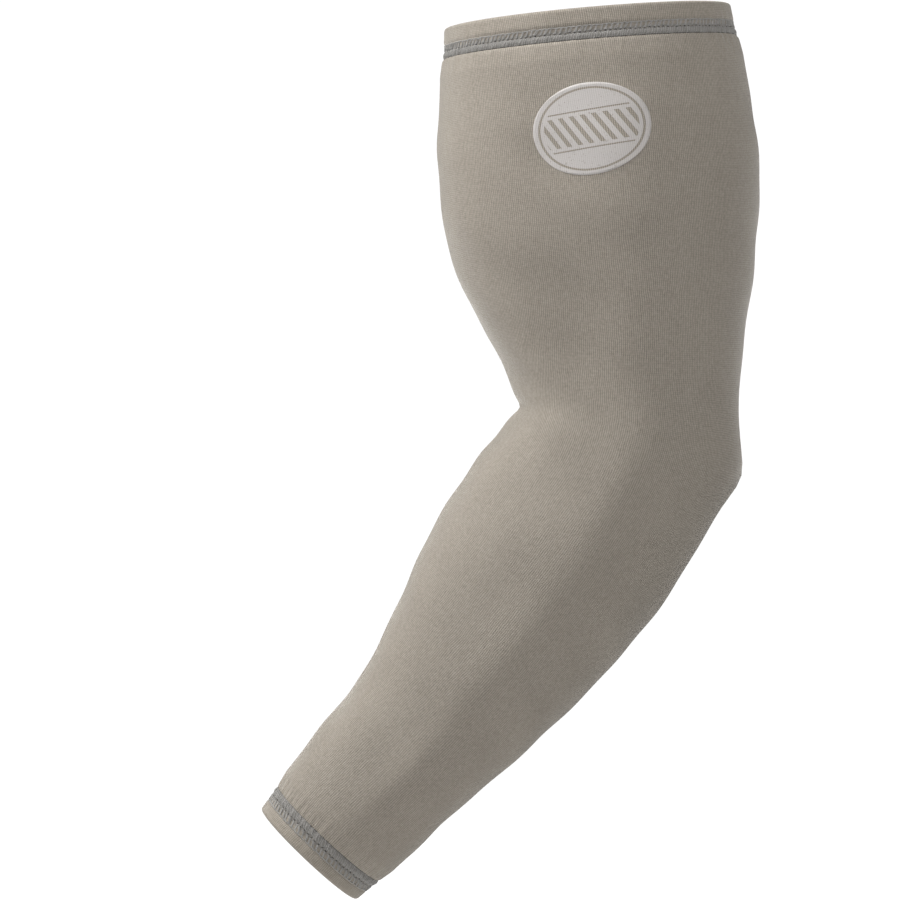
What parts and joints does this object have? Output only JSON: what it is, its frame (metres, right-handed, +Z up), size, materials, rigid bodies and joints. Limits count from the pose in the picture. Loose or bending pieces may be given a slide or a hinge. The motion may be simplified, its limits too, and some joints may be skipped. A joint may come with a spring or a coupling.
{
  "type": "arm sleeve",
  "caption": "Bent knitted arm sleeve with a long mesh panel, flatlock seams and turned-in, stitched hems at both ends.",
  "frame": {"origin": "middle of the upper opening, where the arm goes in", "axes": "+Z up, out of the upper opening; +X to the elbow side; -Y to the smooth outer side; +Y to the side with the mesh panel"},
  "size_m": [0.2267, 0.1293, 0.4085],
  "materials": {
    "smooth_knit": "smooth fine-gauge stretch knit, slight sheen",
    "mesh_knit": "pique mesh, matt",
    "seam_thread": "flatlock thread",
    "hem_thread": "coverstitch thread",
    "transfer_print": "thin heat-transfer print, matt, slightly worn"
  },
  "bodies": {
    "root": {"body_panel": "smooth_knit", "mesh_panel": "mesh_knit", "inner_seam": "seam_thread", "outer_seam": "seam_thread", "upper_hem_stitch": "hem_thread", "cuff_hem_stitch": "hem_thread", "transfer_patch": "transfer_print"}
  },
  "joints": []
}
